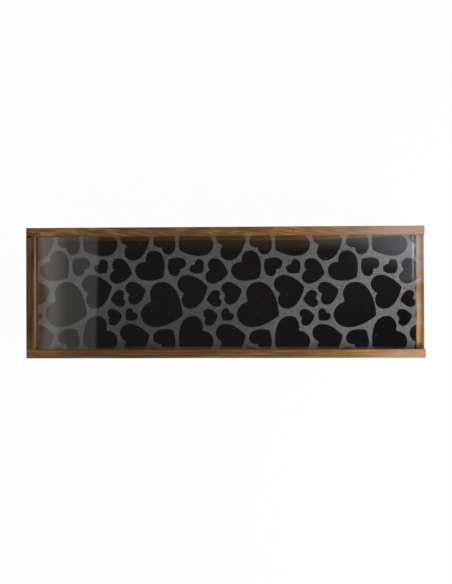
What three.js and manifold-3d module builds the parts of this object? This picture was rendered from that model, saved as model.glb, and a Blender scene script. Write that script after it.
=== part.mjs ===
// A wooden bottle box: four boards on a bottom panel, held by brads, and a clear acrylic lid that
// slides in grooves. The lid is engraved underneath, all over except for a pattern of plain hearts.
// All sizes are in millimetres. X runs along the box towards its open end, Y points at the rear
// side board, Z points up, and the origin is the middle of the underside.
import * as THREE from 'three';
import { mergeVertices } from 'three/addons/utils/BufferGeometryUtils.js';
import Module from 'manifold-3d';

// The box, outside sizes
const LENGTH = 350;
const WIDTH = 115;
const HEIGHT = 100;
// The boards
const BOARD = 7.5;
const BOTTOM = 4;
const ARRIS = 0.6;
// The rear side board was sawn this much short at its open end
const REAR_SHORT = 0.6;
// The groove that holds the lid, and the lip of wood above it
const LIP = 6.5;
const GROOVE_DEPTH = 3.5;
// The lid, its play above and below in the groove, at its edges, and short of the box's end
const LID_THICKNESS = 3;
const LID_PLAY = 0.3;
const LID_EDGE_PLAY = 0.5;
const LID_SETBACK = 0.5;
// The engraving in the lid's underside: its depth, its plain margin at both ends, and how far it
// runs in under the side lips
const ENGRAVING = 0.3;
const MARGIN = 1;
const SIDE_RUN = 0.5;
// The pattern of hearts repeats at this pitch both ways
const REPEAT = 85.15;
// It lies on the sheet slightly turned, by this many degrees
const PATTERN_TURN = -0.21;
// The brads that hold the corners, the shorter ones under the bottom, and their heads
const CORNER_BRAD = 20;
const BOTTOM_BRAD = 15;
const BRAD_RADIUS = 0.6;
const BRAD_POINT = 1.6;
const HEAD_RADIUS = 1.1;
const HEAD_THICKNESS = 0.7;
const HEAD_SUNK = 0.2;
// Facets round a brad
const BRAD_SIDES = 8;
// Clearance round each brad in its hole
const BRAD_FIT = 0.3;
// The split at the closed end board's rear corner
const CHIP_LENGTH = 4.6;
const CHIP_WIDTH = 1.4;
const CHIP_DEPTH = 3;
// How far a cutting shape runs past what it cuts
const OVERRUN = 2;

// Worked out from the sizes above
const INSIDE_LENGTH = LENGTH - 2 * BOARD;
const INSIDE_WIDTH = WIDTH - 2 * BOARD;
const WALL = HEIGHT - BOTTOM;
const GROOVE_TOP = WALL - LIP;
const GROOVE_FLOOR = GROOVE_TOP - LID_THICKNESS - 2 * LID_PLAY;
const LID_LEFT = -INSIDE_LENGTH / 2 - GROOVE_DEPTH + LID_EDGE_PLAY;
const LID_RIGHT = LENGTH / 2 - LID_SETBACK;
const LID_WIDTH = INSIDE_WIDTH + 2 * (GROOVE_DEPTH - LID_EDGE_PLAY);
const LID_UNDERSIDE = BOTTOM + GROOVE_FLOOR + LID_PLAY;

// Heights of the three brads in each corner, in shares of the wall's height
const cornerBradShares = [0.14, 0.47, 0.8];
// Places of the brads under the side boards and under the end boards, in shares of the box's
// length and width from the middle
const sideBradShares = [-0.42, -0.21, 0, 0.21, 0.42];
const endBradShares = [-0.22, 0.22];
// Plan of the split, in shares of its length and width from the board's corner
const chipShares = [[0, 0], [1, 0], [0.75, 0.7], [0.3, 0.75], [0, 1]];

// Half of a heart from its notch to its tip: curves with two control points and an end point,
// along the heart and across it, in shares of its length from notch to tip
const heartHalfShares = [
  [[-0.06, 0.07], [-0.165, 0.16], [-0.165, 0.34]],
  [[-0.165, 0.54], [0.01, 0.685], [0.23, 0.685]],
  [[0.52, 0.685], [0.84, 0.34], [1, 0]],
];
// Facets to each of those curves
const HEART_FACETS = 4;
// The hearts of one repeat: the notch's place along the box and across it, and the length from
// notch to tip, in shares of the repeat, then the heading from notch to tip in degrees
const heartShares = [
  [0.46, 0.525, 0.355, -24],
  [0.795, 0.61, 0.26, 15],
  [0.395, 0.93, 0.245, -42],
  [0.065, 0.85, 0.195, -11],
  [0.755, 0.86, 0.155, 140],
  [0.91, 0.905, 0.12, -47],
  [0.23, 0.6, 0.175, 15],
  [0.16, 0.56, 0.13, -171],
  [0.025, 0.355, 0.13, 11],
  [0.27, 0.41, 0.105, -132],
  [0.99, 0.225, 0.295, -145],
  [0.195, 0.105, 0.255, 16],
  [0.565, 0.085, 0.185, 52],
];
// How far the repeats are shifted past the engraving's right and near edges, in shares of one
const patternShiftShares = [0.263, 0.032];

const wasm = await Module();
wasm.setup();

// A solid for joining and cutting, from a closed geometry
function toSolid(geometry) {
  const bare = geometry.clone();
  bare.deleteAttribute('normal');
  bare.deleteAttribute('uv');
  const welded = mergeVertices(bare);
  const corners = welded.index.array;
  const triangles = [];
  for (let i = 0; i < corners.length; i += 3) {
    const [a, b, c] = corners.slice(i, i + 3);
    if (a !== b && b !== c && c !== a) {
      triangles.push(a, b, c);
    }
  }
  return new wasm.Manifold(new wasm.Mesh({
    numProp: 3,
    vertProperties: new Float32Array(welded.attributes.position.array),
    triVerts: new Uint32Array(triangles),
  }));
}

// The geometry of a cut or joined solid
function toGeometry(solid) {
  const faces = solid.getMesh();
  const geometry = new THREE.BufferGeometry();
  geometry.setAttribute('position', new THREE.BufferAttribute(faces.vertProperties, 3));
  geometry.setIndex(new THREE.BufferAttribute(faces.triVerts, 1));
  geometry.computeVertexNormals();
  return geometry;
}

// A named piece of the box, placed in it
function piece(name, solid, material, x, y, z) {
  const mesh = new THREE.Mesh(toGeometry(solid), material);
  mesh.name = name;
  mesh.position.set(x, y, z);
  return mesh;
}

// A stained board's material
function stain(color) {
  return new THREE.MeshStandardMaterial({ color, roughness: 0.6, metalness: 0 });
}

// A board's end view: outwards from its inner face, and up from its lower edge. Its long outer
// edges are taken off, and a grooved board has the lid's groove and the lip above it.
function boardOutline(height, grooved) {
  const points = [[0, 0]];
  if (grooved) {
    points.push([0, GROOVE_FLOOR], [GROOVE_DEPTH, GROOVE_FLOOR]);
    points.push([GROOVE_DEPTH, GROOVE_TOP], [0, GROOVE_TOP]);
  }
  points.push([0, height - ARRIS], [ARRIS, height]);
  points.push([BOARD - ARRIS, height], [BOARD, height - ARRIS]);
  points.push([BOARD, ARRIS], [BOARD - ARRIS, 0]);
  return points;
}

// A board of that outline, its length centred on the origin. Outwards is the side's sign along Y
// for a board that runs along X, and along X for one that runs along Y. The edges of its ends are
// taken off by the ease, which is 0 where they meet another board.
function board(outline, length, runsAlongX, side, ease) {
  const shape = new THREE.Shape(outline.map(([out, up]) => new THREE.Vector2(side * out, up)));
  const geometry = new THREE.ExtrudeGeometry(shape, {
    depth: length - 2 * ease,
    bevelEnabled: ease > 0,
    bevelThickness: ease,
    bevelSize: ease,
    bevelOffset: -ease,
    bevelSegments: 1,
  });
  geometry.translate(0, 0, ease - length / 2);
  const across = runsAlongX ? new THREE.Vector3(0, 1, 0) : new THREE.Vector3(1, 0, 0);
  const up = new THREE.Vector3(0, 0, 1);
  const along = new THREE.Vector3().crossVectors(across, up);
  geometry.applyMatrix4(new THREE.Matrix4().makeBasis(across, up, along));
  return toSolid(geometry);
}

// A brad along +Y with the top of its head at the origin, or the hole that clears it by the play,
// which also opens the board in front of the head
function brad(length, play, opening) {
  const head = HEAD_RADIUS + play;
  const shank = BRAD_RADIUS + play;
  const profile = [
    [0, -opening],
    [head, -opening],
    [head, HEAD_THICKNESS + play],
    [shank, HEAD_THICKNESS + play],
    [shank, length - BRAD_POINT + play],
    [0, length + play],
  ];
  return new THREE.LatheGeometry(profile.map(([r, y]) => new THREE.Vector2(r, y)), BRAD_SIDES);
}

// Where each brad goes: the top of its head, and the turn about X that points it into the wood
const bradPlaces = [];
for (const [sideName, side] of [['front', -1], ['rear', 1]]) {
  for (const [endName, end] of [['closed', -1], ['open', 1]]) {
    cornerBradShares.forEach((share, i) => bradPlaces.push({
      name: `corner_brad_${sideName}_${endName}_${i + 1}`,
      length: CORNER_BRAD,
      x: end * (INSIDE_LENGTH + BOARD) / 2,
      y: side * (WIDTH / 2 - HEAD_SUNK),
      z: BOTTOM + share * WALL,
      turn: side > 0 ? Math.PI : 0,
    }));
  }
  sideBradShares.forEach((share, i) => bradPlaces.push({
    name: `bottom_brad_${sideName}_${i + 1}`,
    length: BOTTOM_BRAD,
    x: share * LENGTH,
    y: side * (INSIDE_WIDTH + BOARD) / 2,
    z: HEAD_SUNK,
    turn: Math.PI / 2,
  }));
}
for (const [endName, end] of [['closed', -1], ['open', 1]]) {
  endBradShares.forEach((share, i) => bradPlaces.push({
    name: `bottom_brad_${endName}_${i + 1}`,
    length: BOTTOM_BRAD,
    x: end * (INSIDE_LENGTH + BOARD) / 2,
    y: share * WIDTH,
    z: HEAD_SUNK,
    turn: Math.PI / 2,
  }));
}

// The holes of all the brads, in the box's frame
const bradHoles = wasm.Manifold.union(bradPlaces.map(({ length, x, y, z, turn }) => {
  const hole = brad(length, BRAD_FIT, OVERRUN);
  hole.rotateX(turn);
  hole.translate(x, y, z);
  return toSolid(hole);
}));

// A board with the brads' holes made in it, the board's place in the box given
function drilled(solid, x, y, z) {
  return solid.subtract(bradHoles.translate([-x, -y, -z]));
}

const steel = new THREE.MeshStandardMaterial({ color: 0x6f675c, roughness: 0.4, metalness: 1 });

function brads() {
  return bradPlaces.map(({ name, length, x, y, z, turn }) => {
    const mesh = piece(name, toSolid(brad(length, 0, 0)), steel, x, y, z);
    mesh.rotation.x = turn;
    return mesh;
  });
}

// A side board, short of the box's open end by the shortfall
function sideBoard(name, side, shortfall, color) {
  const x = -shortfall / 2;
  const y = side * INSIDE_WIDTH / 2;
  const solid = board(boardOutline(WALL, true), LENGTH - shortfall, true, side, ARRIS);
  return piece(name, drilled(solid, x, y, BOTTOM), stain(color), x, y, BOTTOM);
}

// The split at the top of the closed end board's rear corner
function chip() {
  const outline = chipShares.map(([along, across]) => new THREE.Vector2(
    along * CHIP_LENGTH - (along === 0 ? OVERRUN : 0),
    (across === 0 ? OVERRUN : -across * CHIP_WIDTH),
  ));
  const geometry = new THREE.ExtrudeGeometry(new THREE.Shape(outline), {
    depth: CHIP_DEPTH + OVERRUN,
    bevelEnabled: false,
  });
  geometry.translate(-BOARD, INSIDE_WIDTH / 2, WALL - CHIP_DEPTH);
  return toSolid(geometry);
}

function closedEndBoard() {
  const x = -INSIDE_LENGTH / 2;
  const solid = board(boardOutline(WALL, true), INSIDE_WIDTH, false, -1, 0).subtract(chip());
  return piece('closed_end_board', drilled(solid, x, 0, BOTTOM), stain(0x5c4127), x, 0, BOTTOM);
}

// The open end board stops at the groove's floor, so that the lid passes over it
function openEndBoard() {
  const x = INSIDE_LENGTH / 2;
  const solid = board(boardOutline(GROOVE_FLOOR, false), INSIDE_WIDTH, false, 1, 0);
  return piece('open_end_board', drilled(solid, x, 0, BOTTOM), stain(0xa8814f), x, 0, BOTTOM);
}

function bottomPanel() {
  const z = BOTTOM / 2;
  const solid = toSolid(new THREE.BoxGeometry(LENGTH, WIDTH, BOTTOM));
  return piece('bottom_panel', drilled(solid, 0, 0, z), stain(0x4a3522), 0, 0, z);
}

// One heart's outline with its notch at the origin and its tip at 1 along the axis
function unitHeart() {
  const half = new THREE.Path();
  half.moveTo(0, 0);
  for (const [first, second, end] of heartHalfShares) {
    half.bezierCurveTo(...first, ...second, ...end);
  }
  const points = half.getPoints(HEART_FACETS);
  const mirrored = points.slice(1, -1).reverse().map((p) => new THREE.Vector2(p.x, -p.y));
  return [...points, ...mirrored];
}

// A heart-shaped land from the engraving's floor to past the lid's underside
function heartLand(outline, x, y, length, heading) {
  const shape = new THREE.Shape(outline.map((point) => point.clone()
    .multiplyScalar(length)
    .rotateAround(new THREE.Vector2(), THREE.MathUtils.degToRad(heading))
    .add(new THREE.Vector2(x, y))));
  const geometry = new THREE.ExtrudeGeometry(shape, {
    depth: ENGRAVING + 2 * OVERRUN,
    bevelEnabled: false,
  });
  geometry.translate(0, 0, -OVERRUN);
  return toSolid(geometry);
}

// The engraving covers all of the lid that shows between the lips
function engraving() {
  const left = -INSIDE_LENGTH / 2 + MARGIN;
  const right = LID_RIGHT - MARGIN;
  const width = INSIDE_WIDTH + 2 * SIDE_RUN;
  const slab = new THREE.BoxGeometry(right - left, width, ENGRAVING + OVERRUN);
  slab.translate((left + right) / 2, 0, (ENGRAVING - OVERRUN) / 2);
  const startX = right - patternShiftShares[0] * REPEAT;
  const startY = -width / 2 - patternShiftShares[1] * REPEAT;
  const columns = Math.ceil((right - left) / REPEAT);
  const rows = Math.ceil(width / REPEAT);
  const corner = new THREE.Vector2(right, -width / 2);
  const turn = THREE.MathUtils.degToRad(PATTERN_TURN);
  const outline = unitHeart();
  const lands = [];
  for (let column = -columns - 1; column <= 1; column += 1) {
    for (let row = -1; row <= rows; row += 1) {
      for (const [along, across, length, heading] of heartShares) {
        const notch = new THREE.Vector2(startX + (column + along) * REPEAT,
          startY + (row + across) * REPEAT).rotateAround(corner, turn);
        const { x, y } = notch;
        const reach = length * REPEAT;
        if (x > left - reach && x < right + reach && Math.abs(y) < width / 2 + reach) {
          lands.push(heartLand(outline, x, y, reach, heading + PATTERN_TURN));
        }
      }
    }
  }
  return toSolid(slab).subtract(wasm.Manifold.union(lands));
}

function slidingLid() {
  const plate = new THREE.BoxGeometry(LID_RIGHT - LID_LEFT, LID_WIDTH, LID_THICKNESS);
  plate.translate((LID_LEFT + LID_RIGHT) / 2, 0, LID_THICKNESS / 2);
  const acrylic = new THREE.MeshStandardMaterial({
    color: 0x8f9190,
    roughness: 0.1,
    metalness: 0,
    transparent: true,
    opacity: 0.45,
  });
  const solid = toSolid(plate).subtract(engraving());
  return piece('sliding_lid', solid, acrylic, 0, 0, LID_UNDERSIDE);
}

const model = new THREE.Group();
model.name = 'bottle_box';

const carcass = new THREE.Group();
carcass.add(
  sideBoard('rear_side_board', 1, REAR_SHORT, 0x7d5a37),
  sideBoard('front_side_board', -1, 0, 0x86613b),
  closedEndBoard(),
  openEndBoard(),
  bottomPanel(),
  ...brads(),
);
model.add(carcass, slidingLid());

export default model;
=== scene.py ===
# %% [markdown]
# # A wooden bottle box with a sliding lid
# The real object is a long, narrow box of thin pine boards, stained brown, that holds one bottle.
# Two side boards run its full length, two end boards sit between them, and a thin panel closes it
# below. A sheet of clear acrylic slides in grooves near the top. Its underside is engraved all
# over except for a pattern of plain hearts, which stay clear.
#
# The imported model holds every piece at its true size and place. This script gives the pieces
# their finish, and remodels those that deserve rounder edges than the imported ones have.

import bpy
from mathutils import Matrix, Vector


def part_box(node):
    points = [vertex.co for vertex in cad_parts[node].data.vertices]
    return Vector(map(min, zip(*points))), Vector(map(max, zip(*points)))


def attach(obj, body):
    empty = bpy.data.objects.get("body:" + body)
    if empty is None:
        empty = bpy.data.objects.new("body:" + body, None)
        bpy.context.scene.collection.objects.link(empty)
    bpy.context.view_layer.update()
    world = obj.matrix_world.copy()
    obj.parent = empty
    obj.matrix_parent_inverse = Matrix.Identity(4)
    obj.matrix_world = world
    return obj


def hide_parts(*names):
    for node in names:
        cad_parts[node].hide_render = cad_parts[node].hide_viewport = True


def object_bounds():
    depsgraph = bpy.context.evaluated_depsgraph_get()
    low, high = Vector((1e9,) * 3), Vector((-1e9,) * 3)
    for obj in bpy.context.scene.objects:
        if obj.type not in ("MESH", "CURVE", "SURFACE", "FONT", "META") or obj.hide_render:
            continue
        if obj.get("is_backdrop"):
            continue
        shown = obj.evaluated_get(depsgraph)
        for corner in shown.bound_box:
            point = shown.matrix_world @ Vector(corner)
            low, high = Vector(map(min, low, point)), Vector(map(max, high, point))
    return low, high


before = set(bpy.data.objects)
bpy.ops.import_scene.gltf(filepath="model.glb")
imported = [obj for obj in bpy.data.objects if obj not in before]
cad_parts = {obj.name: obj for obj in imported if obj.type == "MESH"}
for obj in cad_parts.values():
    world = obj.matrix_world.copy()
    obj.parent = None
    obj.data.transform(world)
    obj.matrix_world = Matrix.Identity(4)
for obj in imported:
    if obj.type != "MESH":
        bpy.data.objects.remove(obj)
cad_low, cad_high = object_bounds()
print("The packed model measures", [round(x, 4) for x in cad_high - cad_low], "m")

# %% Other modules, and the unit for small sizes
import math

import bmesh
import bpy
from mathutils import Matrix, Vector

MM = 0.001

# %% [markdown]
# ## The camera
# The photograph was taken by hand from about a metre above the box, looking almost straight down.
# The picture could be matched with a perfectly level camera, but the box's outline is slightly
# wider at its near and right edges. A small offset and tilt of the camera gives just that, and
# needs no shift of the lens.

# %% Make the camera
EYE = Vector((53, -10, 1200)) * MM
AIM = Vector((1.41, 0.34, 100)) * MM
ROLL = math.radians(-0.206)
SENSOR_WIDTH = 36
LENS = 100.2

bpy.ops.object.camera_add(location=EYE)
camera = bpy.context.object
camera.name = "photo_view"
camera.data.sensor_fit = "HORIZONTAL"
camera.data.sensor_width = SENSOR_WIDTH
camera.data.lens = LENS
way = (AIM - EYE).normalized()
right = way.cross(Vector((0, 1, 0))).normalized()
level = Matrix((right, right.cross(way), -way)).transposed()
camera.rotation_euler = (level @ Matrix.Rotation(ROLL, 3, "Z")).to_euler()
bpy.context.scene.camera = camera
print("The camera stands", round((EYE - AIM).length, 3), "m from the rim")

# %% [markdown]
# ## Working like a modeller
# Each piece is made with the same tools that a person uses in edit mode. Those tools act on all
# that is selected, so the script needs short ways to select one object, and then the faces or
# edges of it that lie in some place or face some way.

# %% Select an object, and faces or edges by their place
def only(piece):
    """Selects this object and nothing else."""
    bpy.ops.object.select_all(action="DESELECT")
    piece.select_set(True)
    bpy.context.view_layer.objects.active = piece


def edit(piece):
    """Opens an object in edit mode with nothing selected."""
    only(piece)
    bpy.ops.object.mode_set(mode="EDIT")
    bpy.ops.mesh.select_all(action="DESELECT")


def done():
    """Closes edit mode."""
    bpy.ops.object.mode_set(mode="OBJECT")


def pick_faces(piece, test):
    """In edit mode, selects the faces whose middle and normal pass the test."""
    bpy.ops.mesh.select_mode(type="FACE")
    mesh = bmesh.from_edit_mesh(piece.data)
    for face in mesh.faces:
        face.select_set(bool(test(face.calc_center_median(), face.normal)))
    bmesh.update_edit_mesh(piece.data)
    return sum(face.select for face in mesh.faces)


def pick_edges(piece, test):
    """In edit mode, selects the edges whose two ends pass the test."""
    bpy.ops.mesh.select_mode(type="EDGE")
    mesh = bmesh.from_edit_mesh(piece.data)
    wanted = [edge for edge in mesh.edges if test(edge.verts[0].co, edge.verts[1].co)]
    for edge in wanted:
        edge.select_set(True)
    bmesh.update_edit_mesh(piece.data)
    return len(wanted)


def face_outwards():
    """In edit mode, selects the whole mesh and turns its faces outwards."""
    bpy.ops.mesh.select_all(action="SELECT")
    bpy.ops.mesh.normals_make_consistent(inside=False)


# %% Apply, cut, join, smooth and place
NEAR = 0.02 * MM
# A face looks along an axis where its normal has more than this share of it
SQUARE_ON = 0.9
SMOOTH_ANGLE = math.radians(35)


def settle(piece):
    """Puts an object's place, turn and size into its mesh."""
    only(piece)
    bpy.ops.object.transform_apply(location=True, rotation=True, scale=True)


def apply(piece, kind, **settings):
    """Adds one modifier and applies it."""
    only(piece)
    modifier = piece.modifiers.new(kind.lower(), kind)
    for key, value in settings.items():
        setattr(modifier, key, value)
    bpy.ops.object.modifier_apply(modifier=modifier.name)


def cut(piece, cutter):
    """Takes the cutter's shape out of a piece."""
    apply(piece, "BOOLEAN", object=cutter, operation="DIFFERENCE", solver="EXACT")


def remove(piece):
    """Deletes a shape that was only a helper."""
    bpy.data.objects.remove(piece, do_unlink=True)


def joined(pieces):
    """Joins some objects into the first of them."""
    only(pieces[0])
    for piece in pieces:
        piece.select_set(True)
    bpy.ops.object.join()
    return pieces[0]


def finish_piece(piece, body, slot, *nodes):
    """Smooths the rounded edges, keeps flat faces flat, and puts the piece in the model."""
    only(piece)
    bpy.ops.object.shade_smooth_by_angle(angle=SMOOTH_ANGLE)
    apply(piece, "WEIGHTED_NORMAL", keep_sharp=True)
    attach(piece, body)
    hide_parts(*nodes)
    piece.data.calc_loop_triangles()
    print(piece.name, "has", len(piece.data.loop_triangles), "triangles")


# %% [markdown]
# ## A short way to write shader nodes
# A finish is a chain of small nodes. Written out in full, each takes several lines, so one helper
# makes a node, gives it its settings, and fills its inputs with numbers or with the outputs of
# other nodes. A few shorter ones call it for the nodes that come up most. Colours are written as
# they would be picked on a screen and turned into the renderer's own scale.

# %% Helpers for materials
def tone(red, green, blue):
    """A screen colour, from 0 to 255, as the renderer counts it."""
    shares = [value / 255 for value in (red, green, blue)]
    return (*[s / 12.92 if s <= 0.04045 else ((s + 0.055) / 1.055) ** 2.4 for s in shares], 1)


def add(tree, kind, inputs=None, **settings):
    """Adds one node and returns it."""
    made = tree.nodes.new("ShaderNode" + kind)
    for key, value in settings.items():
        setattr(made, key, value)
    for key, value in (inputs or {}).items():
        if isinstance(value, bpy.types.NodeSocket):
            tree.links.new(value, made.inputs[key])
        else:
            made.inputs[key].default_value = value
    return made


def parts(tree, vector):
    """The X, Y and Z of a vector."""
    return add(tree, "SeparateXYZ", {"Vector": vector}).outputs


def mapped(tree, vector, kind="POINT", **inputs):
    """Shifts, turns or stretches a vector."""
    return add(tree, "Mapping", {"Vector": vector, **inputs}, vector_type=kind).outputs[0]


def soft_noise(tree, vector, detail, scale=1.0, **more):
    """A soft random pattern, centred on a half."""
    inputs = {"Vector": vector, "Scale": scale, "Detail": detail, **more}
    return add(tree, "TexNoise", inputs).outputs[0]


def maths(tree, operation, *values, clamp=False):
    """Adds a Math node and returns its output."""
    inputs = dict(enumerate(values))
    return add(tree, "Math", inputs, operation=operation, use_clamp=clamp).outputs[0]


def product(tree, first, *others):
    """Multiplies any number of values."""
    for value in others:
        first = maths(tree, "MULTIPLY", first, value)
    return first


def between(tree, value, low, high, bottom=0.0, top=1.0):
    """Turns a value that runs from low to high into one that runs softly from bottom to top."""
    inputs = {"Value": value, "From Min": low, "From Max": high, "To Min": bottom, "To Max": top}
    return add(tree, "MapRange", inputs, interpolation_type="SMOOTHSTEP").outputs[0]


def blended(tree, share, first, second, way="MIX"):
    """Mixes two colours and returns the result."""
    made = add(tree, "Mix", data_type="RGBA", blend_type=way)
    for socket, value in zip([made.inputs[0], made.inputs[6], made.inputs[7]], [share, first, second]):
        if isinstance(value, bpy.types.NodeSocket):
            tree.links.new(value, socket)
        else:
            socket.default_value = value
    return made.outputs[2]


def mixed(tree, share, first, second):
    """Mixes two shaders, all of the first at a share of 0 and all of the second at 1."""
    return add(tree, "MixShader", {0: share, 1: first.outputs[0], 2: second.outputs[0]})


def ramp(tree, value, stops):
    """Turns a value into a colour, through stops of (place, colour)."""
    made = add(tree, "ValToRGB", {"Fac": value})
    elements = made.color_ramp.elements
    while len(elements) < len(stops):
        elements.new(0.5)
    for element, (place, colour) in zip(elements, stops):
        element.position = place
        element.color = colour
    return made.outputs["Color"]


def new_material(name):
    """A material with an empty node tree and its output."""
    material = bpy.data.materials.new(name)
    material.use_nodes = True
    material.node_tree.nodes.clear()
    output = add(material.node_tree, "OutputMaterial")
    return material, material.node_tree, output.inputs["Surface"]


def finish_material(tree, shader, surface):
    """Joins the last shader to the material's output."""
    tree.links.new(shader.outputs[0], surface)


# %% [markdown]
# ## Stained pine
# Pine grows in rings, a wide pale band in spring and a narrow dark one in summer. A board is a
# slice of those rings, so a set of nested tubes round a line beside the board gives long streaks
# on its faces and arcs on its ends, all from one pattern. Stain darkens the soft wood and the end
# grain, and gathers in blotches and on the outer edges. Light and shade are painted in too: the
# open end's top is painted lighter as painted light, a pale painted sheen grows towards the lit
# right end, and the inner faces are painted darker towards the bottom as painted shade. An image
# could show all that, but it would stretch at the ends. Patterns in space stay true on every face.

# %% Colours and sizes of the wood
RING = 2.6 * MM
WAVE_TURNS = 20
LONG_STREAK = 2.2
DARKEST = tone(50, 33, 17)
BROWN = tone(99, 71, 41)
TAN = tone(130, 94, 54)
GOLD = tone(188, 140, 80)
SOAKED = tone(44, 32, 17)
# Painted sheen: a pale greyish haze of light on the wood towards the lit right end
PAINTED_SHEEN = tone(164, 140, 123)
# Painted shade: a near-black brown for the inside deep under the lid, and for the splinter's pit
PAINTED_SHADE = tone(24, 18, 13)
# Painted light: the pale colour of the open end's top, where light falls on it
LIT_TOP_TONE = tone(200, 152, 98)
# Painted light: a pale tone for faces where light falls
PAINTED_LIGHT_PALE = tone(158, 132, 104)
RUST = tone(128, 74, 38)
UMBER = tone(90, 74, 54)
REDDISH = (1.1, 0.9, 0.82, 1)
PLAIN = (1, 1, 1, 1)
OLIVE = (0.97, 1.02, 0.84, 1)
WOOD_STOPS = [(0.0, DARKEST), (0.42, BROWN), (0.62, TAN), (1.0, GOLD)]
TINT_STOPS = [(0.36, REDDISH), (0.5, PLAIN), (0.64, OLIVE)]
end_low, end_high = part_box("closed_end_board")
lid_low, lid_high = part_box("sliding_lid")

# %% How strong each part of the pine's pattern is
RING_SLOPE = 0.03
RING_STRETCH = 0.16
RING_WANDER = 9.0
WANDER_SCALE = 0.16
SUMMER_BAND = (0.35, 0.92)
SUMMER_SHADE = -0.12
NOISE_MIDDLE = 0.5
MIDDLE_LIGHTNESS = 0.5
FIGURE_SHARE = 0.9
CLOUD_SHARE = 0.7
THREAD_WANDER = 3 * MM
# Where the painted sheen begins along the box, and its share on the broad faces
SHEEN_START = 0.3
SIDE_SHEEN = 0.5
# How strongly the inner faces are painted darker towards the bottom, as painted shade
INSIDE_SHADE_SHARE = 0.94
ARRIS_FROM = 2 * MM
ARRIS_TO = 1 * MM
INNER_ARRIS_SHARE = 0.1
END_GRAIN_SHARE = 0.62
# Where the painted light on the top shows, by the wood's hue
LIT_TOP_BY_HUE = (0.35, 0.6, 0.6, 1.0)
GRAIN_DEPTH = 0.25 * MM
FIBRE_RANGE = (0.3, 0.7)
PINE_ROUGHNESS = (0.42, 0.6)
# How squarely a face looks along an axis: where each effect begins and where it is whole
NARROW_FACING = 0.7
UP_FACING = (0.5, 0.9)
END_FACING = (0.6, 0.9)
ARRIS_FACING = (0.995, 0.8)
# Shift, stretch along each axis and detail of the fibres, the streaks, the clouds and the hues.
# None in a shift stands for the board's own seed
NOISES = [
    ((None, 0, 0), (90, 1000, 1000), 3.0),
    ((None, 3, 0), (28, 480, 480), 3.0),
    ((0, None, 0), (16, 60, 60), 3.0),
    ((0, 5, None), (30, 120, 120), 2.0),
]


# %% Places in the wood
def near_place(tree, place, centre, reach):
    """One at a place in the box, and none past its reach along each axis. Both are in mm."""
    shrink = [1 / (r * MM) for r in reach]
    shift = [-c * MM * k for c, k in zip(centre, shrink)]
    scaled = mapped(tree, place, Scale=shrink, Location=shift)
    away = add(tree, "VectorMath", {0: scaled}, operation="LENGTH").outputs["Value"]
    return between(tree, away, 1.0, 0.3)


# Where painted shade darkens the inner faces, deeper in the box
def inside_share(tree, spot, shaded_share):
    """None on the outer faces. On those that look into the box it rises to one at the bottom,
    from the given share of the height under the lid."""
    inside_x = maths(tree, "LESS_THAN", maths(tree, "ABSOLUTE", spot[0]), NEAR - end_high.x)
    inside_y = maths(tree, "LESS_THAN", maths(tree, "ABSOLUTE", spot[1]), NEAR + end_high.y)
    low = between(tree, spot[2], shaded_share * lid_low.z, 0.0)
    return product(tree, inside_x, inside_y, low)


def outer_share(tree, spot):
    """One within a board's outer arrises, and none further in."""
    off_x = maths(tree, "ABSOLUTE", spot[0])
    off_y = maths(tree, "ABSOLUTE", spot[1])
    rim_x = between(tree, off_x, cad_high.x - ARRIS_FROM, cad_high.x - ARRIS_TO)
    rim_y = between(tree, off_y, cad_high.y - ARRIS_FROM, cad_high.y - ARRIS_TO)
    return maths(tree, "MAXIMUM", rim_x, rim_y)


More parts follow.
